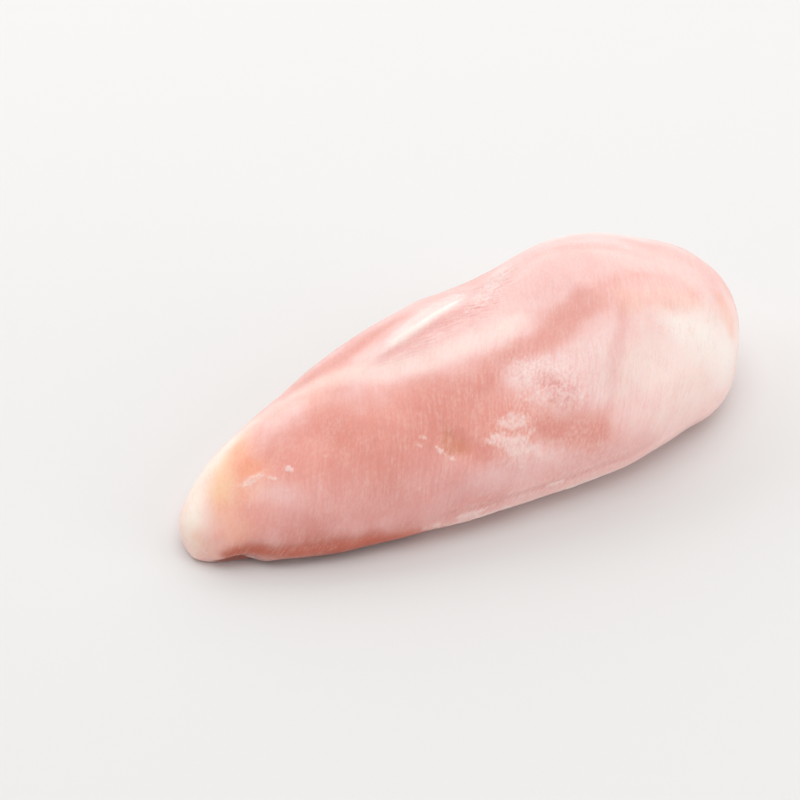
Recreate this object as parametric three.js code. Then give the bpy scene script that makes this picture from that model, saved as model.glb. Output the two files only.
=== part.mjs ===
// A raw, boned and skinned chicken breast, lying on its flat rib side with its smooth side up.
// Millimetres, +Z up. X runs from the thin tip at -X to the thick end at +X, and Y from the
// full front flank at -Y to the steeper back flank at +Y. The origin is the middle of the
// outline on the surface that the meat lies on.
//
// The body is lofted through cross-sections along X. Angles round a section are in degrees:
// 0 is the front flank's widest point, 90 the top of the ridge, 180 the back flank's widest
// point and -90 the middle of the flat underside.

import * as THREE from "three";

const { clamp, degToRad, euclideanModulo, lerp } = THREE.MathUtils;

// Driving dimensions
const LENGTH = 176.4;
const FRONT_WIDTH = 48.7; // from the ridge line to the front flank, where the meat is widest
const BACK_WIDTH = 35.4; // from the ridge line to the back flank
const HEIGHT = 42.8; // of the ridge at the thick end, without its dome, before it settles
const FRONT_TIP_WIDTH = 18.9; // the same three at the tip, before its end is rounded off
const BACK_TIP_WIDTH = 13.4;
const TIP_HEIGHT = 15;
const SETTLED = 1; // how much of the rounded underside the meat's own weight presses flat

// How the sizes grow from the tip, as shares of the length
const FRONT_WIDEST_AT = 0.8;
const BACK_WIDEST_AT = 0.67;
const HIGHEST_AT = 0.86;
const TIP_ROUNDING = 0.064; // how soon the tip's end opens out
const END_ROUNDING = 0.5; // the length over which the thick end closes
const FRONT_END_BLUNTNESS = 2.24; // seen from above
const BACK_END_BLUNTNESS = 1.97;
const END_FALL = 3.33; // seen from the side

const RIDGE_BOW = 3.5; // how far the ridge line bends towards the back
const TIP_WAIST = 6.1; // height of the widest line of the flanks, at the tip
const END_WAIST = 18.6; // and at the thick end

// Exponents of a section's upper arc and of its boxier lower arc
const UPPER_ARC = { across: 0.95, up: 0.95 };
const LOWER_ARC = { across: 0.62, up: 0.55 };

// Low swellings and hollows of the muscle. Each is centred on x and an angle, is reach mm long
// and spread degrees round, rises by rise mm, and turns by twist degrees for each mm of x.
const RELIEF = [
  { at: "dome of the thick end", x: 44, angle: 91, reach: 21, spread: 45, rise: 4.1, twist: 0 },
  { at: "saddle behind the dome", x: 23, angle: 121, reach: 17, spread: 34, rise: -4.4, twist: 0.3 },
  { at: "valley down the front face", x: 16, angle: 65, reach: 32, spread: 15, rise: -2.0, twist: 0.6 },
  { at: "valley's shallow foot", x: -22, angle: 38, reach: 18, spread: 20, rise: -0.9, twist: 0.4 },
  { at: "shoulder by the thick end", x: 50, angle: 34, reach: 26, spread: 24, rise: 1.2, twist: 0.1 },
  { at: "front corner of the thick end", x: 65, angle: -27, reach: 18, spread: 30, rise: 4.1, twist: 0 },
  { at: "belly of the front flank", x: -8, angle: 6, reach: 40, spread: 20, rise: 1.8, twist: 0 },
  { at: "swelling before the tip", x: -54, angle: -12, reach: 17, spread: 40, rise: 0.8, twist: 0 },
  { at: "lengthwise crest", x: -12, angle: 97, reach: 34, spread: 9, rise: 1.1, twist: 0 },
  { at: "flat beside the crest", x: -2, angle: 80, reach: 24, spread: 10, rise: -0.7, twist: 0 },
  { at: "narrowing under the tip", x: -81.5, angle: -22, reach: 6.6, spread: 34, rise: -3.8, twist: 0 },
  { at: "toe of the tip", x: -86, angle: -12, reach: 4.5, spread: 50, rise: 4.0, twist: 0 },
  { at: "gap under the front edge", x: -77, angle: -36, reach: 8, spread: 18, rise: -1.2, twist: 0 },
  { at: "shred of flesh in the gap", x: -75, angle: -32, reach: 2.8, spread: 12, rise: 1.9, twist: 0 },
  { at: "back flank's long hollow", x: 5, angle: 148, reach: 44, spread: 16, rise: -1.3, twist: 0 },
  { at: "back flank's lobe", x: 43, angle: 168, reach: 22, spread: 22, rise: 1.2, twist: 0 },
];

const SECTIONS = 72;
const POINTS_ROUND = 64;
const DRAWN_ROUND = 360; // points of a section before it is spaced evenly

// Grows from 0 to 1, quickly at first and then levelling off
const ease = (share) => Math.sin((Math.PI / 2) * clamp(share, 0, 1));

// Opens the tip's round end: 0 at the very tip, and close to 1 a few times soon further in
const opening = (share, soon) => Math.sqrt(1 - Math.exp(-share / soon));

// Closes the thick end: 1 where its rounding starts and 0 at the very end
const closing = (share, bluntness) => Math.sqrt(1 - Math.pow(clamp(share, 0, 1), bluntness));

// The sizes of the section at a share of the length
function sizesAt(share) {
  const tip = opening(share, TIP_ROUNDING);
  const intoEnd = (share - (1 - END_ROUNDING)) / END_ROUNDING;
  const fall = closing(intoEnd, END_FALL);
  const front = lerp(FRONT_TIP_WIDTH, FRONT_WIDTH, ease(share / FRONT_WIDEST_AT));
  const back = lerp(BACK_TIP_WIDTH, BACK_WIDTH, ease(share / BACK_WIDEST_AT));
  const waist = lerp(TIP_WAIST, END_WAIST, share);
  const crown = lerp(TIP_HEIGHT, HEIGHT, ease(share / HIGHEST_AT));
  return {
    x: (share - 0.5) * LENGTH,
    ridge: RIDGE_BOW * 4 * share * (1 - share),
    front: tip * closing(intoEnd, FRONT_END_BLUNTNESS) * front,
    back: tip * closing(intoEnd, BACK_END_BLUNTNESS) * back,
    waist,
    top: waist + (crown - waist) * tip * fall,
    bottom: waist * (1 - Math.sqrt(Math.min(tip, fall))),
    fade: tip * fall,
  };
}

// The difference between two angles, from -180 to 180 degrees
const turned = (from, to) => euclideanModulo(to - from + 180, 360) - 180;

// How far the relief pushes a point of the section outwards
function reliefAt(x, angle) {
  let push = 0;
  for (const { x: middle, angle: centre, reach, spread, rise, twist } of RELIEF) {
    const along = (x - middle) / reach;
    const round = turned(centre + twist * (x - middle), angle) / spread;
    push += rise * Math.exp(-along * along - round * round);
  }
  return push;
}

// One point of a section, at an angle from -90 to 270 degrees
function pointAt(sizes, angle) {
  const across = Math.cos(degToRad(angle));
  const up = Math.sin(degToRad(angle));
  const arc = up >= 0 ? UPPER_ARC : LOWER_ARC;
  const width = across >= 0 ? -sizes.front : sizes.back;
  const depth = up >= 0 ? sizes.top - sizes.waist : sizes.bottom - sizes.waist;
  const push = reliefAt(sizes.x, angle) * sizes.fade;
  const y = sizes.ridge + width * Math.pow(Math.abs(across), arc.across) - push * across;
  const z = sizes.waist + depth * Math.pow(Math.abs(up), arc.up) + push * up;
  return new THREE.Vector3(sizes.x, y, Math.max(z, SETTLED));
}

// A closed section with its points spaced evenly, from the middle of the underside
function sectionAt(share) {
  const sizes = sizesAt(share);
  const drawn = [];
  for (let i = 0; i < DRAWN_ROUND; i++) {
    drawn.push(pointAt(sizes, -90 + (360 * i) / DRAWN_ROUND));
  }
  const curve = new THREE.CatmullRomCurve3(drawn, true);
  curve.arcLengthDivisions = 2 * DRAWN_ROUND;
  const spaced = curve.getSpacedPoints(POINTS_ROUND).slice(0, POINTS_ROUND);
  return spaced.map((p) => new THREE.Vector3(sizes.x, p.y, Math.max(p.z, SETTLED)));
}

// The closed skin through all sections, with one point at each end
function loft() {
  const points = [pointAtEnd(0)];
  for (let i = 1; i <= SECTIONS; i++) {
    const share = (1 - Math.cos((Math.PI * i) / (SECTIONS + 1))) / 2;
    points.push(...sectionAt(share));
  }
  points.push(pointAtEnd(1));

  const last = points.length - 1;
  const faces = [];
  for (let j = 0; j < POINTS_ROUND; j++) {
    const next = (j + 1) % POINTS_ROUND;
    faces.push(0, 1 + j, 1 + next);
    for (let i = 0; i < SECTIONS - 1; i++) {
      const near = 1 + i * POINTS_ROUND;
      const far = near + POINTS_ROUND;
      faces.push(near + j, far + j, far + next);
      faces.push(near + j, far + next, near + next);
    }
    faces.push(last, last - POINTS_ROUND + next, last - POINTS_ROUND + j);
  }
  return new THREE.BufferGeometry().setFromPoints(points).setIndex(faces);
}

function pointAtEnd(share) {
  const { x, ridge, waist } = sizesAt(share);
  return new THREE.Vector3(x, ridge, waist);
}

// Moves the outline's middle to the origin, and keeps the underside at height 0
function centred(geometry) {
  geometry.computeBoundingBox();
  const middle = geometry.boundingBox.getCenter(new THREE.Vector3());
  return geometry.translate(-middle.x, -middle.y, -geometry.boundingBox.min.z);
}

const flesh = new THREE.MeshStandardMaterial({ color: "#e9aea2", roughness: 0.38, metalness: 0 });

const breast = new THREE.Mesh(centred(loft()), flesh);
breast.name = "chicken_breast";
breast.geometry.computeVertexNormals();

const part = new THREE.Group();
part.add(breast);

export default part;
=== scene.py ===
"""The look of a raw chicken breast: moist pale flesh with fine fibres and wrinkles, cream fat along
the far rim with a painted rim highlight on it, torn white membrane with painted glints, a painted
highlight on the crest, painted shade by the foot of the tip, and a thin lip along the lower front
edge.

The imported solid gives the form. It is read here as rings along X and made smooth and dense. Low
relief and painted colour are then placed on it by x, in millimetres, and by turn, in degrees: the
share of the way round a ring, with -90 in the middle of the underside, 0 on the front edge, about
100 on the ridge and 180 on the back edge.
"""

import math

import bpy
import numpy as np
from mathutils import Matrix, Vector, noise


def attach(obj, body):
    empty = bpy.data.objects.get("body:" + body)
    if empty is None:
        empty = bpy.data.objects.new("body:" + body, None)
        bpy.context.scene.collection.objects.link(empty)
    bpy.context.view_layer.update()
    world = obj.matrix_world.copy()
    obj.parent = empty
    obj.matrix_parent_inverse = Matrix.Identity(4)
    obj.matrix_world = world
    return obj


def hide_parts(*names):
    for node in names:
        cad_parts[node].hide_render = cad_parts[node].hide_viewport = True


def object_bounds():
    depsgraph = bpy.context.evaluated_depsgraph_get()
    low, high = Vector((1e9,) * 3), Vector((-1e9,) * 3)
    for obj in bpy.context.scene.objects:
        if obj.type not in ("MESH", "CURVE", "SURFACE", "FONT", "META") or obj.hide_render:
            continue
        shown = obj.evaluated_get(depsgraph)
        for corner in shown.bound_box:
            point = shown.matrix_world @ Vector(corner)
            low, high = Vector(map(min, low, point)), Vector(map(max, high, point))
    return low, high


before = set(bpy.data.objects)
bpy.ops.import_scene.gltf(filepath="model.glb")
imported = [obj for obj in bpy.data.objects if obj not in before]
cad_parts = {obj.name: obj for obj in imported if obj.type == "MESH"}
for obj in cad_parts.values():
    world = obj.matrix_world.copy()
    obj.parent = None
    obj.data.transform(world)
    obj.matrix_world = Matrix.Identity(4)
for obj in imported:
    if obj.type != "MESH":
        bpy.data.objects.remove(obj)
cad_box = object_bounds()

MM = 0.001

# The solid's rings
NODE = "chicken_breast"
SAME_RING = 0.02  # mm in x within which points belong to one ring
RIDGE_BOW = 3.5  # mm, how far the ridge line bends, as in the solid

# The dense skin
ROWS = 440
COLUMNS = 224
CROWDING = (  # how closely columns crowd at each turn: most by the front edge, then on the crest
    (-90, 0.4), (-40, 0.5), (-20, 1.7), (8, 1.7), (26, 1), (84, 1),
    (96, 1.4), (134, 1.4), (150, 0.8), (230, 0.6), (270, 0.4),
)
RIDGE_TURN = 100  # from which the way down the front flank is measured
UNDERSIDE = (66, 84)  # degrees from its middle over which the underside's smooth film ends

# Strokes
STROKE_STEP = 0.5  # mm between the points that a stroke is made of
MM_PER_DEGREE = 0.5  # about how far a degree of turn is
REACH = 3  # half widths out to which a stroke counts
SOFT, FIRM = 1.0, 1.5  # how suddenly a stroke ends
FOLD_END = 0.02  # share of its length at which a fold has all but faded out

# How far the edges of strokes wander: with even clouds, with streaks along the fibres, and with
# the membrane's tears
CLOUDED, CLOUD_SIZE = 0.4, 9  # the size is in mm
STREAKED, STREAK_WIDTH, STREAK_LENGTH = 0.4, 3, 14  # the last two are in mm
TORN = 0.8
TEARS = np.array([0.16, 0.34, 0.34])  # for each mm of x, y and z

# The muscle's fibres
FIBRE_SLANT = 0.65  # mm that a fibre goes towards the tip for each mm down the front flank
FIBRE_SHEAR = 0.5 * FIBRE_SLANT
FIBRE_WANDER, WANDER_SIZE = 1.6, 28  # mm

# Low relief all over: the size of the bumps, or their width and length along the fibres, and
# their height, in mm
LUMPS = {"size": 26, "rise": 0.35}
SMALL_LUMPS = {"size": 8, "rise": 0.1}
BUNDLES = {"wide": 3.4, "long": 40, "rise": 0.04}
STRANDS = {"wide": 1.5, "long": 20, "rise": 0.02}
FILM_BUMPS = {"size": 1.6, "rise": 0.1}
PITS = {"size": 1.8, "rise": 0.05}
WRINKLES = {"wide": 6, "long": 1.5, "rise": 0.1}
SUNK = 0.1  # mm that the whole skin lies lower, to make room for the relief

# Noise
NOISE_GAIN = 1.6  # Blender's noise seldom goes beyond 0.6
OCTAVE_STEP = 2.0  # how many times finer each octave is than the one before
OCTAVE_FALL = 0.9  # the power of that step by which it is weaker
TEXTURE_MIDDLE = (0.3, 0.7)  # the values that Blender's noise texture seldom leaves


def tone(red, green, blue):
    """A colour from its 0 to 255 screen values, as the linear values that Blender mixes."""
    return ((np.array([red, green, blue]) / 255 + 0.055) / 1.055) ** 2.4


PINK = tone(247, 204, 199)
ROSE = tone(247, 213, 209)
BLUSH = tone(237, 163, 150)
SALMON = tone(226, 147, 133)
DUSKY = tone(229, 162, 155)
CREAM = tone(252, 226, 218)
PEACH = tone(250, 188, 166)
YELLOW = tone(254, 200, 157)
APRICOT = tone(249, 164, 126)
IVORY = tone(255, 236, 222)
# WHITE is also the white of the painted highlights and sheen on the crest, shoulder and dome
WHITE = tone(254, 243, 236)
# FILM is also the white of the painted glints
FILM = tone(252, 234, 229)
MAUVE = tone(238, 196, 194)
# painted shadow and reflected warm light, over partly raw red flesh
RAW_RED_AND_SHADE = tone(194, 90, 58)
# painted shade of a gap
DEEP_RED_SHADE = tone(140, 54, 34)
TAN = tone(211, 131, 96)
DARK_SHADE = (0.8, 0.55, 0.52)  # what the darkest fibres and flecks leave of a tone

# Painted in this order. A stroke runs through points of x, turn, half width in mm and, where it
# fades, its force there from 0 to 1. The edges of a soft one are even, and the others have the
# ragged edges that fibres give.
PAINT = [
    {"at": "front flank towards the tip", "tone": BLUSH, "amount": 1,
     "stroke": ((-74, 62, 11), (-60, 82, 16), (-46, 72, 20), (-27, 52, 18), (-10, 42, 13))},
    {"at": "mauve flesh of the lower front", "tone": DUSKY, "amount": 0.9, "soft": True,
     "stroke": ((-68, 28, 8), (-50, 26, 10), (-34, 24, 9), (-22, 14, 7))},
    {"at": "salmon flesh of the front flank", "tone": SALMON, "amount": 0.75, "soft": True,
     "stroke": ((-47, 86, 5), (-46, 66, 8), (-42, 48, 8), (-30, 56, 6), (-18, 66, 9), (-6, 67, 6))},
    {"at": "darker flesh by the brown spot", "tone": SALMON, "amount": 0.7,
     "stroke": ((-25, 52, 3), (-22, 40, 4), (-19, 30, 3))},
    {"at": "valley beside the crest", "tone": SALMON, "amount": 0.72,
     "stroke": ((-2, 74, 3, 0.5), (3, 75, 3.5, 0.9), (14, 76, 5.6, 1), (24, 81, 6.8, 1), (31, 84, 6, 0.9),
                (38, 83, 4, 0.3))},
    {"at": "pale flesh below the valley", "tone": ROSE, "amount": 0.8,
     "stroke": ((1, 61, 4), (12, 59, 4.5), (27, 60, 5), (22, 50, 6), (17, 38, 4))},
    {"at": "mottled spot", "tone": DUSKY, "amount": 0.6,
     "stroke": ((6, 54, 3), (7, 47, 3.5), (9, 42, 3))},
    {"at": "patch below the membrane", "tone": SALMON, "amount": 0.85,
     "stroke": ((0, 31, 4.5), (6, 25, 6.5), (13, 22, 6))},
    {"at": "dusky band along the front's foot", "tone": DUSKY, "amount": 0.4, "soft": True,
     "stroke": ((-40, 10, 6), (-20, 8, 5), (0, 7, 5), (18, 6, 5), (30, 2, 3))},
    {"at": "pale mauve flesh above the front's foot", "tone": MAUVE, "amount": 0.6, "soft": True,
     "stroke": ((-31, 14, 2.5, 0.6), (-24, 17, 3, 0.7), (-17, 17, 3.5, 1), (-11, 16, 3.5, 1),
                (-5, 15, 2.5, 0.5))},
    {"at": "pale face of the thick end", "tone": CREAM, "amount": 0.8,
     "stroke": ((32, 40, 9), (44, 24, 15), (56, 34, 18), (68, 24, 14))},
    # Painted sheen: the broad reflection of soft light on the wet shoulder, painted white
    {"at": "bright patch on the shoulder", "tone": WHITE, "amount": 0.75, "soft": True,
     "stroke": ((48, 50, 5), (54, 43, 8), (60, 33, 8), (64, 20, 7))},
    {"at": "peach above the shoulder", "tone": PEACH, "amount": 0.4,
     "stroke": ((40, 71, 4), (46, 68, 4.5), (52, 64, 5), (59, 62, 3.5))},
    {"at": "pink beside the dome", "tone": BLUSH, "amount": 0.35, "soft": True,
     "stroke": ((33, 77, 3), (42, 84, 3), (53, 80, 5), (60, 76, 4), (61, 66, 3))},
    {"at": "warm cheek of the thick end", "tone": APRICOT, "amount": 0.35,
     "stroke": ((71, 56, 3.5), (70, 42, 4.5), (69, 34, 3))},
    {"at": "dome and ridge", "tone": BLUSH, "amount": 0.13, "soft": True,
     "stroke": ((20, 114, 7), (34, 108, 12), (46, 98, 12), (52, 88, 8))},
    {"at": "pink slope behind the shoulder", "tone": BLUSH, "amount": 0.22, "soft": True,
     "stroke": ((53, 100, 3, 0.4), (58, 93, 4.5, 1), (63, 84, 4.5, 1), (68, 74, 3.5, 0.7))},
    {"at": "pink rim outside the dome", "tone": BLUSH, "amount": 0.3,
     "stroke": ((60, 118, 4), (70, 102, 6), (76, 86, 6), (75, 70, 5))},
    {"at": "pale line round the dome", "tone": CREAM, "amount": 0.15,
     "stroke": ((44, 110, 1.4), (52, 102, 1.7), (60, 89, 2), (65, 77, 2))},
    {"at": "pink line round the dome", "tone": BLUSH, "amount": 0.3,
     "stroke": ((28, 134, 2, 0), (36, 125, 2.4, 1), (44, 115, 2.6, 1), (52, 107, 2.2, 0.8),
                (60, 96, 1.8, 0))},
    {"at": "pink hair line on the dome", "tone": BLUSH, "amount": 0.35,
     "stroke": ((43, 92, 1.2, 0), (47, 86, 1.7, 1), (50, 83, 1.6, 0.9), (55, 80, 1.2, 0))},
    # Painted rim highlight along the dome's back rim
    {"at": "back rim of the dome", "tone": WHITE, "amount": 0.3, "soft": True,
     "stroke": ((44, 138, 4), (56, 134, 6), (66, 130, 4))},
    # Cream flesh with a painted rim highlight over it
    {"at": "cream band beside the crest", "tone": CREAM, "amount": 0.66,
     "stroke": ((-56, 147, 3), (-47, 141, 2.8), (-39, 130, 3), (-33, 116, 3.6), (-26, 103, 4.2),
                (-16, 93, 4.2), (-4, 92, 4), (6, 91, 4), (13, 93, 3))},
    # Dusky flesh with painted shade in the trough below the streak's ridge
    {"at": "pink band under the streak", "tone": DUSKY, "amount": 0.6,
     "stroke": ((-28, 111, 1.5, 0), (-20, 111, 2.2, 0.8), (-10, 110.5, 3, 1), (2, 111, 3.2, 1),
                (12, 111, 2, 0.3))},
    # Painted shadow, dusky, on the flesh behind the wrinkled film
    {"at": "flesh behind the wrinkled film", "tone": DUSKY, "amount": 0.35, "soft": True,
     "stroke": ((-4, 142, 2.5, 0.4), (6, 142, 3.5, 0.9), (14, 140, 3.5, 1), (21, 134, 3, 0.5))},
    {"at": "wrinkled film by the crest", "tone": DUSKY, "amount": 0.4,
     "stroke": ((6, 114, 3), (13, 122, 6), (21, 134, 6))},
    {"at": "peach rim towards the tip", "tone": PEACH, "amount": 0.4, "soft": True,
     "stroke": ((-56, 136, 4, 0.6), (-46, 128, 4.5, 1), (-36, 126, 4, 1), (-28, 120, 3, 0.4))},
    # Deeper flesh with painted warm reflected light on it
    {"at": "flesh behind the streak", "tone": SALMON, "amount": 0.9, "soft": True,
     "stroke": ((-42, 148, 4.5, 0.7), (-34, 138, 4.5, 0.9), (-26, 137, 4.5, 1), (-17, 137, 4.5, 1),
                (-8, 137, 3.5, 0.6))},
    {"at": "film behind the streak", "tone": FILM, "amount": 0.6,
     "stroke": ((-17, 120.5, 1.8), (-8, 125, 3), (1, 129, 3), (9, 134, 2.4))},
    # Painted highlight: the white of light caught on the streak's ridge
    {"at": "streak", "tone": WHITE, "amount": 0.9, "soft": True,
     "stroke": ((-25, 115, 0.8, 0), (-18, 116, 1.2, 0.9), (-9, 117.5, 1.5, 1), (0, 120.5, 1.4, 1),
                (5, 123.5, 0.9, 1), (10, 127, 0.5, 0))},
    {"at": "fat inside the tip's rim", "tone": YELLOW, "amount": 0.95, "soft": True,
     "stroke": ((-65, 148, 4.5), (-73, 130, 5.5), (-77, 104, 5.5), (-78.5, 84, 4.2))},
    {"at": "peach flesh of the tip", "tone": PEACH, "amount": 0.85, "soft": True,
     "stroke": ((-79, 74, 4), (-80, 54, 4), (-80, 34, 4))},
    {"at": "warm flesh beside the fat", "tone": APRICOT, "amount": 0.75, "soft": True,
     "stroke": ((-66, 134, 3), (-69, 114, 4.5), (-69, 98, 4.5), (-72, 80, 2.6))},
    # Ivory fat with a painted rim highlight over it
    {"at": "tip's rim", "tone": IVORY, "amount": 1, "soft": True,
     "stroke": ((-58, 154, 3), (-70, 152, 4), (-80, 148, 5.5), (-85, 124, 5), (-87, 96, 4.6),
                (-87.5, 70, 3.6), (-87.5, 40, 3))},
    {"at": "pink toe of the tip", "tone": PEACH, "amount": 0.5, "soft": True,
     "stroke": ((-87, 60, 3), (-87, 36, 4), (-86, 14, 4))},
    {"at": "pale rose beside the fat", "tone": ROSE, "amount": 0.45, "soft": True,
     "stroke": ((-71, 88, 2), (-70, 74, 4), (-66, 58, 4))},
    # Painted shadow and warm reflected light on the foot by the tip, over partly raw red flesh
    {"at": "shade along the front's foot by the tip", "tone": RAW_RED_AND_SHADE, "amount": 0.85, "soft": True,
     "stroke": ((-83, 3, 1.8), (-76, 3, 3.2), (-64, 2, 4.6), (-52, -1, 4.4), (-40, -6, 3),
                (-28, -10, 1.8), (-10, -12, 1))},
    # Painted shade: the dark gap under the tip's edge, painted on flesh pushed out into it
    {"at": "deep red under the tip's edge", "tone": DEEP_RED_SHADE, "amount": 0.85, "soft": True,
     "stroke": ((-84, -26, 1.2), (-80, -26, 2.4), (-74, -22, 2.6), (-64, -15, 2.8), (-50, -15, 2.6),
                (-38, -18, 1.4))},
    {"at": "shred of flesh in the gap", "tone": ROSE, "amount": 0.8,
     "stroke": ((-77.5, -18, 0.8), (-75, -19, 1.1))},
    {"at": "groove above the front edge's lip", "tone": DUSKY, "amount": 0.35,
     "stroke": ((-46, 4, 0.9, 0), (-30, 2, 0.9, 1), (-8, 1, 0.9, 1), (16, 1, 0.9, 1), (38, 1, 0.8, 0))},
    {"at": "front edge's lip", "tone": CREAM, "amount": 0.35,
     "stroke": ((-44, -4, 1, 0), (-28, -6, 1.1, 1), (-4, -7, 1.1, 1), (18, -6, 1, 0.8), (38, -6, 1, 0))},
    {"at": "brown spot", "tone": TAN, "amount": 0.65,
     "stroke": ((-24, 46, 1.6), (-25.2, 42.5, 1.9), (-24.6, 39, 1.6), (-22.5, 38, 2.2))},
    # Dusky flesh with painted shade along the crease
    {"at": "dark crease", "tone": DUSKY, "amount": 0.45,
     "stroke": ((37, 70, 1, 0.5), (33, 62, 1.5, 1), (29, 55, 2, 1), (24, 47, 2.3, 0.8),
                (20, 38, 2, 0.4))},
    {"at": "flesh of the back flank", "tone": BLUSH, "amount": 0.7, "soft": True,
     "stroke": ((-56, 172, 7), (-20, 168, 10), (16, 168, 11), (46, 172, 9))},
    {"at": "salmon flesh of the back flank", "tone": SALMON, "amount": 0.5,
     "stroke": ((-40, 164, 4), (-22, 168, 5), (-4, 176, 3))},
    {"at": "salmon flesh of the back lobe", "tone": SALMON, "amount": 0.4,
     "stroke": ((12, 158, 5), (28, 164, 6), (40, 174, 4))},
    {"at": "fat along the back edge", "tone": CREAM, "amount": 0.8,
     "stroke": ((-70, 188, 2), (-40, 192, 3), (-10, 195, 3), (4, 196, 1.6), (16, 198, 3), (40, 196, 4),
                (66, 190, 3))},
    {"at": "sinew in the back crease", "tone": CREAM, "amount": 0.4,
     "stroke": ((-42, 160, 1.2, 0), (-28, 158, 1.2, 0.6), (-12, 160, 1.8, 1), (2, 160, 1.1, 0.4),
                (18, 158, 1.8, 0.9), (34, 156, 1.4, 0.7), (50, 152, 1.2, 0))},
    {"at": "pink of the thick end", "tone": BLUSH, "amount": 0.5,
     "stroke": ((78, 150, 5), (83, 110, 6), (83, 60, 5), (80, 20, 4))},
    {"at": "salmon flesh of the thick end", "tone": SALMON, "amount": 0.4,
     "stroke": ((76, 172, 4), (84, 150, 5), (86, 90, 4))},
    {"at": "underside's flesh", "tone": BLUSH, "amount": 0.9,
     "stroke": ((-66, -90, 9), (-20, -90, 17), (20, -90, 20), (60, -90, 15))},
    {"at": "seam where the fillet lay", "tone": CREAM, "amount": 0.6,
     "stroke": ((-46, -70, 2), (-10, -80, 3.5), (30, -84, 3.5), (62, -70, 2))},
]

# Torn thin white membrane, and small painted glints of light on the wet flesh: strokes of x, turn,
# half width in mm and force
MEMBRANE_AND_GLINTS = [
    ((-16, 36, 1.2, 0.7), (-12, 32, 2.8, 1.0), (-9, 27, 4.0, 1.0), (-6, 20, 2.6, 0.5)),
    ((-10, 42, 1.6, 0.7), (-7, 40, 2.8, 1.0), (-4.5, 40, 2.2, 0.7)),
    ((-3, 46, 2.0, 0.35), (0, 48, 2.0, 0.3)),
    ((-2, 50, 2.4, 0.5), (5, 47, 3.4, 0.6), (11, 41, 3, 0.5)),
    ((1, 72, 2.4, 0.4), (6, 66, 3, 0.45), (3, 56, 2.6, 0.4)),
    ((4, 112, 2, 0.4), (12, 118, 4, 0.6), (20, 132, 5, 0.7), (26, 142, 4, 0.7)),
    ((0, 128, 2, 0.3), (8, 134, 3, 0.5), (16, 140, 3, 0.5)),
    # Painted glints of light on wet bumps, by the brown spot and towards the tip
    ((-28, 43, 0.6, 0.9), (-27.4, 40, 1.0, 1.2)),
    ((-26.8, 37, 0.5, 0.9), (-26, 33.5, 0.8, 1.1)),
    ((-32, 50.5, 0.6, 0.7), (-31.4, 47.5, 0.6, 0.8)),
    ((-30.2, 52.5, 0.5, 0.7), (-29.4, 50, 0.5, 0.7)),
    ((-53, 74, 0.5, 0.6), (-52.3, 71, 0.5, 0.6)),
    ((-61.5, 80, 0.7, 1.2), (-61.2, 77, 0.7, 1.2)),
    ((-66.6, 82, 0.7, 0.8), (-65.8, 78.5, 0.6, 0.7)),
    ((-66, 65, 0.6, 0.6), (-65.2, 62, 0.6, 0.6)),
    ((-73.2, 92, 1.0, 0.5), (-70.5, 90, 1.3, 0.9), (-67, 89, 0.9, 0.7)),
    ((-77.5, -16, 0.8, 0.5), (-75, -17, 0.9, 0.5)),
    # Painted glints on the toe
    ((-87, 22, 0.6, 0.8), (-86.6, 12, 0.6, 0.8)),
    ((-40, -3, 0.5, 0.3), (-32, -5, 1.0, 0.6), (-24, -6, 1.3, 0.9), (-14, -7, 1.2, 0.8)),
    # Painted glints along the front edge's lip
    ((-37, -2, 1.0, 0.6), (-33.5, -2, 0.9, 0.6)),
    ((-28, -1, 0.9, 0.8), (-25, -1, 1.2, 1.2), (-22, -1, 0.8, 0.7)),
    ((-20.5, 0, 0.8, 0.7), (-18, 0, 0.8, 0.7)),
    ((-12.5, 0, 0.8, 0.6), (-9, 0, 0.8, 0.6)),
    ((-3.5, 0.5, 0.8, 0.9), (0.5, 0.5, 0.9, 0.8)),
    ((-2, -7, 1.0, 0.6), (8, -7, 1.2, 0.9), (16, -7, 0.9, 0.6)),
    ((-48, 178, 1.2, 0.4), (-38, 180, 1.8, 0.45)),
    ((12, 170, 2.6, 0.3), (26, 178, 4.6, 0.45), (40, 178, 3.0, 0.3)),
    ((52, 160, 2.0, 0.4), (60, 152, 3.0, 0.5), (66, 140, 2.4, 0.4)),
    ((80, 30, 3.0, 0.4), (79, 0, 3.0, 0.5)),
    ((-30, -70, 5.0, 0.5), (0, -76, 9.0, 0.6), (40, -80, 8.0, 0.6)),
]

# Where the fibres show plainly: strokes of x, turn, half width in mm and force
FIBROUS = [
    ((2, 84, 8, 0.9), (10, 60, 13, 1.0), (20, 40, 12, 0.9), (40, 20, 12, 0.6)),
    ((24, 100, 12, 0.6), (50, 70, 16, 0.7), (60, 40, 14, 0.6)),
    ((-60, 60, 14, 0.5), (-30, 40, 16, 0.7), (-10, 60, 12, 0.8)),
    ((-50, 170, 10, 0.7), (0, 172, 14, 0.9), (50, 176, 12, 0.7)),
    ((66, 160, 12, 0.6), (82, 110, 16, 0.6), (82, 20, 14, 0.6)),
]
LEAST_FIBROUS = 0.3

# Where dark and light flecks mottle the flesh: strokes of x, turn, half width in mm and force
MOTTLED = [
    ((1, 68, 4, 0.6), (6, 60, 6, 0.9), (9, 50, 7, 1.0), (8, 42, 5, 0.8)),
    ((-12, 30, 6, 0.5), (-4, 40, 6, 0.6)),
    ((6, 112, 3, 0.3), (13, 122, 5, 0.4), (22, 136, 5, 0.4)),
    ((0, 22, 5, 0.4), (10, 16, 6, 0.4)),
    ((-30, 4, 3, 0.5), (0, 2, 3, 0.6), (20, 3, 3, 0.5)),
    ((24, 176, 7, 0.3), (40, 170, 5, 0.3)),
]

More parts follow.
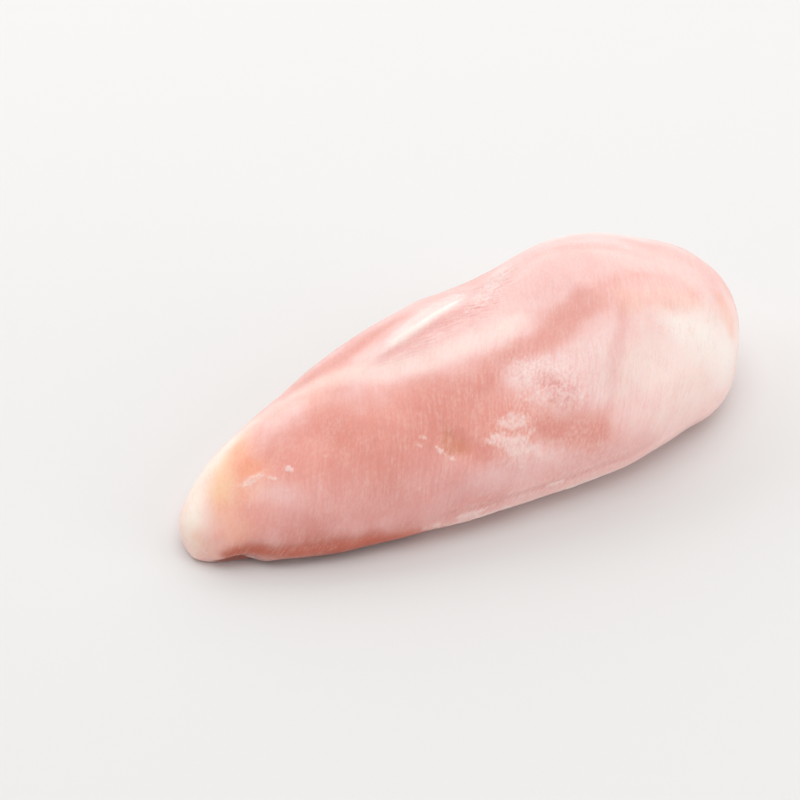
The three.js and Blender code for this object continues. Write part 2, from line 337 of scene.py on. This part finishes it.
# Where thin film lies in fine wrinkles: strokes of x, turn, half width in mm and force
WRINKLED = [
    ((0, 112, 2.5, 0.5), (8, 114, 4, 0.9), (16, 121, 6, 1.0), (24, 134, 6, 1.0)),
    ((-6, 128, 2.5, 0.5), (4, 132, 4, 0.8), (14, 139, 4, 0.9)),
    ((-24, 107, 2, 0.4), (-10, 106, 3, 0.6), (6, 108, 3, 0.6)),
    ((0, 176, 4, 0.4), (30, 182, 6, 0.5), (52, 172, 5, 0.4)),
]

# Creases and ridges that follow strokes of x and turn: half width and rise in mm
FOLDS = [
    {"at": "ridge of the streak", "width": 1.7, "rise": 0.36,
     "stroke": ((-25, 116), (-10, 117.5), (0, 120.5), (8, 126))},
    {"at": "trough below the streak", "width": 2.4, "rise": -0.34,
     "stroke": ((-25, 111), (-8, 111), (10, 112))},
    {"at": "fine line", "width": 0.8, "rise": 0.15,
     "stroke": ((-24, 108), (-18, 106), (-9, 105), (2, 107), (12, 111))},
    {"at": "second fine line", "width": 0.7, "rise": 0.12,
     "stroke": ((-20, 103.5), (-10, 101.5), (0, 103), (14, 108))},
    {"at": "wrinkle behind the crest", "width": 0.9, "rise": 0.16,
     "stroke": ((8, 119), (15, 126), (24, 138))},
    {"at": "second wrinkle behind the crest", "width": 0.9, "rise": 0.14,
     "stroke": ((12, 114), (20, 122), (28, 134))},
    {"at": "dark crease", "width": 2.2, "rise": -0.34,
     "stroke": ((37, 70), (32, 60), (28, 54), (23, 46), (17, 35))},
    {"at": "edge of the dome", "width": 2.3, "rise": -0.26,
     "stroke": ((30, 132), (40, 119), (50, 108), (58, 98), (64, 84), (67, 70))},
    {"at": "lip of the front edge", "width": 1.3, "rise": 0.5,
     "stroke": ((-46, -4), (-30, -6), (-14, -7), (2, -7), (16, -6.5), (32, -6))},
    {"at": "groove above the lip", "width": 1.2, "rise": -0.42,
     "stroke": ((-46, 4), (-28, 2), (-10, 1), (6, 1), (20, 1), (38, 1))},
    {"at": "toe of the tip", "width": 2.1, "rise": 1.1,
     "stroke": ((-87, -90), (-87.7, -56), (-87.5, -30), (-86.8, 0))},
    # Pushes flesh out into the gap under the tip, to carry the painted shade of the gap
    {"at": "flesh in the gap by the tip", "width": 2.1, "rise": 1.2,
     "stroke": ((-86, -50), (-82, -41), (-78, -35), (-73, -30))},
    {"at": "fold above the tip's foot", "width": 1.4, "rise": -0.4,
     "stroke": ((-82, 12), (-74, 8), (-60, 6), (-46, 3))},
    {"at": "dent by the brown spot", "width": 2.6, "rise": -0.5,
     "stroke": ((-25, 52), (-22, 42), (-19, 32))},
    {"at": "seam where the fillet lay", "width": 2.2, "rise": -0.7,
     "stroke": ((-50, -66), (-10, -76), (30, -80), (64, -66))},
    {"at": "crease of the back flank", "width": 1.4, "rise": -0.4,
     "stroke": ((-40, 158), (-10, 160), (24, 158), (48, 152))},
]


def packed_rings(node):
    """The solid's rings between its two end points, and those points, in mm.

    Each ring starts under its middle and goes round by the front edge."""
    corners = np.array([vertex.co[:] for vertex in node.data.vertices]) / MM
    points = np.unique(corners.round(3), axis=0)
    starts = np.flatnonzero(np.diff(points[:, 0]) > SAME_RING) + 1
    (tip,), *groups, (end,) = np.split(points, starts)
    rings = []
    for group in groups:
        middle = (group.min(axis=0) + group.max(axis=0)) / 2
        share = (middle[0] - tip[0]) / (end[0] - tip[0])
        ring = group[np.argsort(np.arctan2(group[:, 2] - middle[2], middle[1] - group[:, 1]))]
        off = abs(ring[:, 1] - tip[1] - RIDGE_BOW * 4 * share * (1 - share))
        start = np.argmin(np.where(ring[:, 2] < middle[2], off, np.inf))
        rings.append(np.roll(ring, -start, axis=0))
    return tip, end, np.array(rings)


def spline_weights(places, count):
    """Weights of a uniform cubic spline's control points at some places.

    Places count the points from 0, and one more control point comes before the first."""
    weights = np.zeros((len(places), count + 2))
    first = np.minimum(places.astype(int), count - 2)
    part = places - first
    second = 3 * part**3 - 6 * part**2 + 4
    third = 1 + 3 * part * (1 + part - part**2)
    for k, share in enumerate(((1 - part) ** 3, second, third, part**3)):
        weights[np.arange(len(places)), first + k] = share / 6
    return weights


class Skin:
    """The smooth surface through the solid's rings, found by ring number and turn."""

    def __init__(self, node):
        self.tip, self.end, rings = packed_rings(node)
        self.count = len(rings) + 1
        self.around = rings.shape[1]
        ends = [np.repeat(point[None], self.around, axis=0) for point in (self.tip, self.end)]
        net = np.concatenate([ends[:1], rings, ends[1:]])
        self.net = self.padded(net)
        even_turns = np.arange(self.around) / self.around * 360 - 90
        shrunk = self.grid(np.arange(self.count + 1), even_turns)
        # The spline rounds its points off, so they start out by as much as it takes away
        self.net = self.padded(2 * net - shrunk)

    @staticmethod
    def padded(net):
        """The control points with one more before and after both ends, and wrapped round."""
        net = np.concatenate([2 * net[:1] - net[1:2], net, 2 * net[-1:] - net[-2:-1]])
        return np.concatenate([net[:, -1:], net, net[:, :2]], axis=1)

    def ring_of(self, x):
        """The ring number, with fractions, at an x in mm."""
        share = (np.asarray(x, float) - self.tip[0]) / (self.end[0] - self.tip[0])
        return np.arccos(1 - 2 * np.clip(share, 0, 1)) / math.pi * self.count

    def grid(self, rings, turns):
        """The surface's points for every pair of ring number and turn."""
        along = spline_weights(rings, self.count + 1)
        around = spline_weights(self.places(turns), self.around + 1)
        return np.einsum("ri,ijk,tj->rtk", along, self.net, around, optimize=True)

    def places(self, turns):
        """How many of a ring's points come before each turn."""
        return (turns + 90) % 360 / 360 * self.around

    def stroke(self, corners):
        """Closely spaced points along a stroke, with what its corners add to x and turn, and the
        share of its length at each."""
        corners = np.array(corners, float)
        lengths = np.hypot(np.diff(corners[:, 0]), np.diff(corners[:, 1]) * MM_PER_DEGREE)
        ends = np.concatenate([[0], np.cumsum(lengths)])
        at = np.linspace(0, ends[-1], max(3, int(ends[-1] / STROKE_STEP)))
        drawn = np.array([np.interp(at, ends, column) for column in corners.T]).T
        along = spline_weights(self.ring_of(drawn[:, 0]), self.count + 1)
        around = spline_weights(self.places(drawn[:, 1]), self.around + 1)
        points = np.einsum("si,ijk,sj->sk", along, self.net, around, optimize=True)
        return points, drawn[:, 2:], at / ends[-1]


def wobble(points, size, octaves=1, shift=0.0):
    """Noise between about -1 and 1 whose bumps are size mm apart. Another shift moves it."""
    scaled = (points.reshape(-1, 3) / size + shift).tolist()
    if octaves == 1:
        values = [noise.noise(p) for p in scaled]
    else:
        values = [noise.fractal(p, OCTAVE_FALL, OCTAVE_STEP, octaves) for p in scaled]
    return np.array(values).reshape(points.shape[:-1]) * NOISE_GAIN


def stroke_depth(points, line, widths, forces=1.0, ragged=None, firm=SOFT):
    """How deep each point lies in a stroke, from 0 to the stroke's force on its line.

    Ragged noise moves the stroke's edge in and out."""
    depth = np.zeros(points.shape[:-1])
    reach = REACH * np.max(widths)
    low, high = line.min(axis=0) - reach, line.max(axis=0) + reach
    near = ((points > low) & (points < high)).all(axis=-1)
    close = points[near]
    square = (close**2).sum(axis=1)[:, None] + (line**2).sum(axis=1) - 2 * close @ line.T
    spread = np.maximum(square, 0) / np.asarray(widths) ** 2
    if ragged is not None:
        spread *= np.exp(ragged[near])[:, None]
    depth[near] = (np.exp(-(spread**firm)) * forces).max(axis=1)
    return depth


def mask(points, skin, stroke, ragged, firm=FIRM):
    """How strongly a stroke of x, turn, half width and perhaps force covers each point."""
    line, extras, _ = skin.stroke(stroke)
    forces = extras[:, 1] if extras.shape[1] > 1 else 1.0
    return stroke_depth(points, line, extras[:, 0], forces, ragged, firm)


def fold(points, skin, stroke, width):
    """A crease's depth from 0 to 1, fading out at both ends of its stroke."""
    line, _, along = skin.stroke(stroke)
    fade = np.sqrt(np.sin(math.pi * np.clip(along, FOLD_END, 1 - FOLD_END)))
    return stroke_depth(points, line, width, fade)


def fibre_places(points, turns):
    """Where each point lies across and along the muscle's slanting fibres, in mm."""
    step = np.linalg.norm(np.diff(points, axis=1, append=points[:, :1]), axis=2)
    length = np.cumsum(step, axis=1) - step
    ridge = np.array([np.interp(RIDGE_TURN, turns, row) for row in length])[:, None]
    down_front = ridge - length
    wander = FIBRE_WANDER * wobble(points, WANDER_SIZE, shift=3.1)
    across = points[..., 0] + FIBRE_SLANT * down_front + wander
    along = math.hypot(1, FIBRE_SLANT) * down_front - FIBRE_SHEAR * points[..., 0]
    return across, along


def smooth_step(low, high, value):
    """Grows smoothly from 0 where value is low to 1 where it is high."""
    share = np.clip((value - low) / (high - low), 0, 1)
    return share * share * (3 - 2 * share)


class Breast:
    """The dense skin with its relief and its painted colours."""

    def __init__(self, node):
        self.skin = Skin(node)
        self.rings = self.skin.count * np.arange(1, ROWS + 1) / (ROWS + 1)
        self.turns = self.spread_turns()
        self.base = self.skin.grid(self.rings, self.turns)
        self.normals = self.outward(self.base)
        self.across, self.along = fibre_places(self.base, self.turns)
        self.clouded = CLOUDED * wobble(self.base, CLOUD_SIZE, octaves=2, shift=5.3)
        self.uneven = self.clouded + STREAKED * self.along_fibres(STREAK_WIDTH, STREAK_LENGTH)
        from_underside = 180 - np.abs((self.turns + 90) % 360 - 180)
        self.fibrous = self.strongest(FIBROUS, self.uneven, LEAST_FIBROUS)
        self.fibrous *= smooth_step(*UNDERSIDE, from_underside)
        self.mottled = self.strongest(MOTTLED, self.uneven)
        self.wrinkled = self.strongest(WRINKLED, self.uneven)
        torn = TORN * wobble(self.base * TEARS, 1, octaves=3, shift=7.7)
        # the film also holds the painted glints
        self.film = self.strongest(MEMBRANE_AND_GLINTS, torn)
        self.tones = self.painted()
        self.points = self.base + self.normals * self.relief()[..., None]

    @staticmethod
    def spread_turns():
        """The columns' turns, as close together at each turn as CROWDING says."""
        fine = np.linspace(-90, 270, 3601)  # tenths of a degree
        need = np.interp(fine, *zip(*CROWDING))
        total = np.concatenate([[0], np.cumsum((need[1:] + need[:-1]) / 2)])
        return np.interp(np.arange(COLUMNS) / COLUMNS, total / total[-1], fine)

    @staticmethod
    def outward(points):
        """The unit normals of a grid of points. The grid's middle is on top, where they point up."""
        lengthwise = np.gradient(points, axis=0)
        wrapped = np.concatenate([points[:, -1:], points, points[:, :1]], axis=1)
        roundwise = np.gradient(wrapped, axis=1)[:, 1:-1]
        normals = np.cross(lengthwise, roundwise)
        normals /= np.linalg.norm(normals, axis=2, keepdims=True)
        top = normals[len(normals) // 2, points.shape[1] // 2]
        return normals * np.sign(top[2])

    def along_fibres(self, wide, long, shift=0.0):
        """Noise in streaks that are wide mm across the fibres and long mm along them."""
        places = np.stack([self.across / wide, self.along / long, np.zeros_like(self.across)], axis=-1)
        return wobble(places, 1, octaves=2, shift=shift)

    def strongest(self, strokes, ragged, least=0.0):
        """The greatest force that any of the strokes has at each point."""
        force = np.full(self.base.shape[:2], least)
        for stroke in strokes:
            force = np.maximum(force, mask(self.base, self.skin, stroke, ragged))
        return force

    def cover(self, layer):
        """How much of a painted layer shows at each point."""
        if layer.get("soft"):
            return layer["amount"] * mask(self.base, self.skin, layer["stroke"], self.clouded, SOFT)
        return layer["amount"] * mask(self.base, self.skin, layer["stroke"], self.uneven)

    def painted(self):
        """Each point's tone, with all layers painted over the plain pink."""
        tones = np.tile(PINK, (*self.base.shape[:2], 1))
        for layer in PAINT:
            tones += (layer["tone"] - tones) * self.cover(layer)[..., None]
        return tones

    def relief(self):
        """How far each point moves out along its normal, in mm."""
        move = self.bumps(LUMPS, octaves=2) + self.bumps(SMALL_LUMPS, shift=1.7)
        move += self.fibrous * (self.grooves(BUNDLES) + self.grooves(STRANDS, shift=9))
        for crease in FOLDS:
            move += crease["rise"] * fold(self.base, self.skin, crease["stroke"], crease["width"])
        move += self.film * (FILM_BUMPS["rise"] + self.bumps(FILM_BUMPS, shift=2.2))
        move += self.mottled * self.bumps(PITS, shift=4.4)
        move += self.wrinkled * self.grooves(WRINKLES, shift=6)
        return move - SUNK

    def bumps(self, kind, octaves=1, shift=0.0):
        return kind["rise"] * wobble(self.base, kind["size"], octaves, shift)

    def grooves(self, kind, shift=0.0):
        return kind["rise"] * self.along_fibres(kind["wide"], kind["long"], shift)

    @staticmethod
    def faces():
        """The faces between the rings, and the two fans that close the ends."""
        last = 1 + ROWS * COLUMNS
        faces = []
        for j in range(COLUMNS):
            k = (j + 1) % COLUMNS
            faces.append((0, 1 + j, 1 + k))
            faces.append((last, last - COLUMNS + k, last - COLUMNS + j))
        here = np.arange(COLUMNS)
        beside = (here + 1) % COLUMNS
        for i in range(ROWS - 1):
            near, far = 1 + i * COLUMNS, 1 + (i + 1) * COLUMNS
            ring = np.stack([near + here, far + here, far + beside, near + beside], axis=1)
            faces += ring.tolist()
        return faces

    def mesh(self, name):
        """The skin as a mesh inside the solid's box, with what its material reads at each point."""
        low, high = (np.array(corner) / MM for corner in cad_box)
        points = np.clip(self.points.reshape(-1, 3), low, high)
        points = np.concatenate([[self.skin.tip], points, [self.skin.end]])
        mesh = bpy.data.meshes.new(name)
        mesh.from_pydata((points * MM).tolist(), [], self.faces())
        mesh.shade_smooth()
        opaque = np.ones((ROWS, COLUMNS, 1))
        self.give(mesh, "tone", "FLOAT_COLOR", np.concatenate([self.tones, opaque], axis=2))
        fibre = np.stack([self.across, self.along, self.fibrous], axis=2)
        self.give(mesh, "fibre", "FLOAT_VECTOR", fibre)
        self.give(mesh, "film", "FLOAT", self.film[..., None])
        self.give(mesh, "mottled", "FLOAT", self.mottled[..., None])
        self.give(mesh, "wrinkled", "FLOAT", self.wrinkled[..., None])
        return mesh

    @staticmethod
    def give(mesh, name, kind, values):
        """Stores a value at each point of the grid, and its mean over the last ring at each end."""
        flat = values.reshape(-1, values.shape[-1])
        tip, end = values[0].mean(axis=0), values[-1].mean(axis=0)
        flat = np.concatenate([[tip], flat, [end]])
        attribute = mesh.attributes.new(name, kind, "POINT")
        field = {"FLOAT_COLOR": "color", "FLOAT_VECTOR": "vector", "FLOAT": "value"}[kind]
        attribute.data.foreach_set(field, flat.astype(np.float32).ravel())


class Tree:
    """A material's nodes, added one by one and linked by passing one node's output to another."""

    def __init__(self, name):
        self.material = bpy.data.materials.new(name)
        self.material.use_nodes = True
        self.tree = self.material.node_tree
        self.tree.nodes.clear()

    def add(self, kind, inputs=None, **settings):
        node = self.tree.nodes.new(f"ShaderNode{kind}")
        for key, value in settings.items():
            setattr(node, key, value)
        for key, value in (inputs or {}).items():
            if isinstance(value, bpy.types.NodeSocket):
                self.tree.links.new(value, node.inputs[key])
            else:
                node.inputs[key].default_value = value
        return node

    def attribute(self, name, output="Fac"):
        return self.add("Attribute", attribute_name=name).outputs[output]

    def product(self, a, b):
        return self.add("Math", {0: a, 1: b}, operation="MULTIPLY").outputs[0]

    def total(self, *terms, plus=0.0):
        """The sum of terms that are each a value and its weight, plus a number."""
        result = plus
        for value, weight in terms:
            node = self.add("Math", {0: value, 1: weight, 2: result}, operation="MULTIPLY_ADD")
            result = node.outputs[0]
        return result

    def mixed(self, factor, a, b, blend="MIX"):
        """Colour a where the factor is 0 or less, and b where it is 1 or more."""
        node = self.add("Mix", {"Factor": factor, 6: a, 7: b}, data_type="RGBA", blend_type=blend)
        return node.outputs[2]

    def ranged(self, value, low, high, to_low=0.0, to_high=1.0):
        """Grows smoothly from to_low to to_high while the value goes from low to high."""
        node = self.add("MapRange", {0: value, 1: low, 2: high, 3: to_low, 4: to_high})
        node.interpolation_type = "SMOOTHSTEP"
        return node.outputs[0]

    def spread_noise(self, place, scale, **settings):
        """Noise whose middle values are spread to between -1 and 1."""
        texture = self.add("TexNoise", {"Vector": place, "Scale": scale, **settings})
        return self.ranged(texture.outputs[0], *TEXTURE_MIDDLE, -1, 1)

    def streaks(self, fibre, across, along, detail):
        """Noise in streaks of so many mm across and along the fibres."""
        scale = (1 / across, 1 / along, 0)
        stretched = self.add("Mapping", {"Vector": fibre, "Scale": scale}).outputs[0]
        return self.spread_noise(stretched, 1, Detail=detail, Roughness=0.6)

    def clouds(self, size, detail, distortion=0.0):
        """Noise in clouds of about size mm."""
        place = self.add("TexCoord").outputs["Object"]
        return self.spread_noise(place, 1 / (size * MM), Detail=detail, Distortion=distortion)


class Flesh(Tree):
    """Wet flesh: its painted tone with fibres, flecks, wrinkles and mottling, and membrane and painted
    glints on it.
    """

    DARKENING = 0.55  # how far a full shade takes the tone to DARK_SHADE
    LIGHTENING = 0.4  # and how far its opposite takes it to WHITE
    VEILING = 0.56  # how much of the flesh whole membrane hides
    ROUGHNESS = 0.37
    BUMP_HEIGHT = 0.06 * MM

    def __init__(self):
        super().__init__("raw_flesh")
        fibre = self.attribute("fibre", "Vector")
        self.fibrous = self.add("SeparateXYZ", {0: fibre}).outputs[2]
        self.flecked = self.total((self.attribute("mottled"), 0.5), plus=0.16)
        self.wrinkled = self.attribute("wrinkled")
        self.fibres = self.streaks(fibre, across=0.9, along=7, detail=3)
        self.bundles = self.streaks(fibre, across=3.2, along=26, detail=2)
        self.flecks = self.streaks(fibre, across=0.8, along=1.6, detail=3)
        self.wrinkles = self.streaks(fibre, across=5, along=0.8, detail=2)
        self.grain = self.clouds(size=0.6, detail=2)
        self.mottle = self.clouds(size=6, detail=4, distortion=0.3)
        self.veil = self.torn_membrane_and_glints()

    def torn_membrane_and_glints(self):
        """How much membrane and painted glint lie over the flesh, from 0 where there is none to 1."""
        film = self.attribute("film")
        tears = self.clouds(size=2, detail=5, distortion=0.6)
        torn = self.total((tears, 0.25), (self.flecks, 0.15), (film, 1))
        return self.product(self.ranged(torn, 0.15, 1.15), self.ranged(film, 0.02, 0.5))

    def colour(self):
        """The painted tone made darker and lighter, under the membrane and its painted glints."""
        shade = self.total(
            (self.fibres, self.product(self.fibrous, 0.3)),
            (self.bundles, self.product(self.fibrous, 0.14)),
            (self.flecks, self.flecked),
            (self.wrinkles, self.product(self.wrinkled, 0.75)),
            (self.mottle, 0.14),
            (self.grain, 0.06),
        )
        darker, lighter = self.product(shade, -self.DARKENING), self.product(shade, self.LIGHTENING)
        colour = self.attribute("tone", "Color")
        colour = self.mixed(darker, colour, (*DARK_SHADE, 1), "MULTIPLY")
        colour = self.mixed(lighter, colour, (*WHITE, 1))
        return self.mixed(self.product(self.veil, self.VEILING), colour, (*FILM, 1))

    def roughness(self):
        """The wet gloss, broken by mottling and grain, and smoother on the membrane."""
        broken = ((self.mottle, 0.05), (self.grain, 0.03), (self.veil, -0.07))
        return self.total(*broken, plus=self.ROUGHNESS)

    def bump(self):
        height = self.total(
            (self.fibres, self.fibrous),
            (self.flecks, self.flecked),
            (self.wrinkles, self.product(self.wrinkled, 1.8)),
            (self.grain, 0.12),
            (self.veil, 0.8),
        )
        inputs = {"Height": height, "Strength": 0.5, "Distance": self.BUMP_HEIGHT}
        return self.add("Bump", inputs).outputs[0]


def flesh_material():
    flesh = Flesh()
    shader = flesh.add("BsdfPrincipled", {
        "Base Color": flesh.colour(),
        "Roughness": flesh.roughness(),
        "Normal": flesh.bump(),
        "IOR": 1.4,
        "Subsurface Weight": 0.3,
        "Subsurface Radius": (1.0, 0.42, 0.3),
        "Subsurface Scale": 2 * MM,
        "Coat Weight": 0.3,
        "Coat Roughness": 0.2,
        "Coat IOR": 1.36,
    })
    flesh.add("OutputMaterial", {"Surface": shader.outputs[0]})
    return flesh.material


def build_breast():
    breast = Breast(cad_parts[NODE])
    mesh = breast.mesh("raw_chicken_breast")
    piece = bpy.data.objects.new("raw_chicken_breast", mesh)
    bpy.context.scene.collection.objects.link(piece)
    mesh.materials.append(flesh_material())
    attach(piece, "root")
    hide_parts(NODE)


FLOOR_HALF = 5  # metres
FLOOR_TONES = ((0.76, 0.755, 0.75, 1), (0.8, 0.795, 0.79, 1))


def build_floor():
    tree = Tree("floor_white")
    grain = tree.add("TexNoise", {"Scale": 9, "Detail": 3}).outputs[0]
    colour = tree.mixed(grain, *FLOOR_TONES)
    shader = tree.add("BsdfPrincipled", {"Base Color": colour, "Roughness": 0.7})
    tree.add("OutputMaterial", {"Surface": shader.outputs[0]})
    mesh = bpy.data.meshes.new("floor")
    corners = [(x * FLOOR_HALF, y * FLOOR_HALF, 0) for x, y in ((-1, -1), (1, -1), (1, 1), (-1, 1))]
    mesh.from_pydata(corners, [], [(0, 1, 2, 3)])
    mesh.materials.append(tree.material)
    floor = bpy.data.objects.new("floor", mesh)
    bpy.context.scene.collection.objects.link(floor)


# The camera, placed as the photo's was
CAMERA_AZIMUTH = -35.71  # degrees
CAMERA_ELEVATION = 34.4
CAMERA_DISTANCE = 617.1 * MM
CAMERA_LENS = 99.0
AIM = Vector((-2.72, 30.62, 0)) * MM
AIM_RIGHT = 1.1 * MM  # how far the camera then moves, to frame the meat as the photo does
AIM_UP = -2.05 * MM


def camera_axes():
    """The camera's directions to the right, up and back."""
    a, e = math.radians(CAMERA_AZIMUTH), math.radians(CAMERA_ELEVATION)
    back = Vector((math.sin(a) * math.cos(e), -math.cos(a) * math.cos(e), math.sin(e)))
    right = Vector((math.cos(a), math.sin(a), 0))
    return right, back.cross(right), back


def build_camera():
    right, up, back = camera_axes()
    data = bpy.data.cameras.new("camera")
    data.lens = CAMERA_LENS
    camera = bpy.data.objects.new("camera", data)
    camera.location = AIM + right * AIM_RIGHT + up * AIM_UP + back * CAMERA_DISTANCE
    camera.rotation_euler = (-back).to_track_quat("-Z", "Y").to_euler()
    bpy.context.scene.collection.objects.link(camera)
    bpy.context.scene.camera = camera


# Soft area lights: metres to the camera's right, away from it and up, width and height in metres,
# and power in watts
LIGHTS = {
    "back": {"right": -0.1, "away": 1.15, "up": 0.75, "size": (2.4, 1.2), "power": 11},
    "left": {"right": -1.1, "away": 0.3, "up": 0.55, "size": (0.8, 0.8), "power": 3},
    "overhead": {"right": 0.1, "away": -0.1, "up": 1.2, "size": (1.2, 1.2), "power": 4.8},
    "side": {"right": 1.1, "away": -0.35, "up": 0.5, "size": (0.8, 0.8), "power": 3.9},
}
LIT_POINT = Vector((0, 0, 0.02))  # in the middle of the meat
SKY_COLOUR = (1, 0.985, 0.97, 1)
SKY_STRENGTH = 0.52


def add_light(name, place):
    right, _, back = camera_axes()
    away = Vector((-back.x, -back.y, 0)).normalized()
    data = bpy.data.lights.new(name, "AREA")
    data.shape = "RECTANGLE"
    data.size, data.size_y = place["size"]
    data.energy = place["power"]
    light = bpy.data.objects.new(name, data)
    light.location = right * place["right"] + away * place["away"] + Vector((0, 0, place["up"]))
    light.rotation_euler = (LIT_POINT - light.location).to_track_quat("-Z", "Y").to_euler()
    bpy.context.scene.collection.objects.link(light)


def build_studio():
    world = bpy.data.worlds.new("studio")
    world.use_nodes = True
    background = world.node_tree.nodes["Background"]
    background.inputs["Color"].default_value = SKY_COLOUR
    background.inputs["Strength"].default_value = SKY_STRENGTH
    bpy.context.scene.world = world
    for name, place in LIGHTS.items():
        add_light(name, place)
    bpy.context.scene.view_settings.view_transform = "Standard"


build_breast()
build_floor()
build_camera()
build_studio()
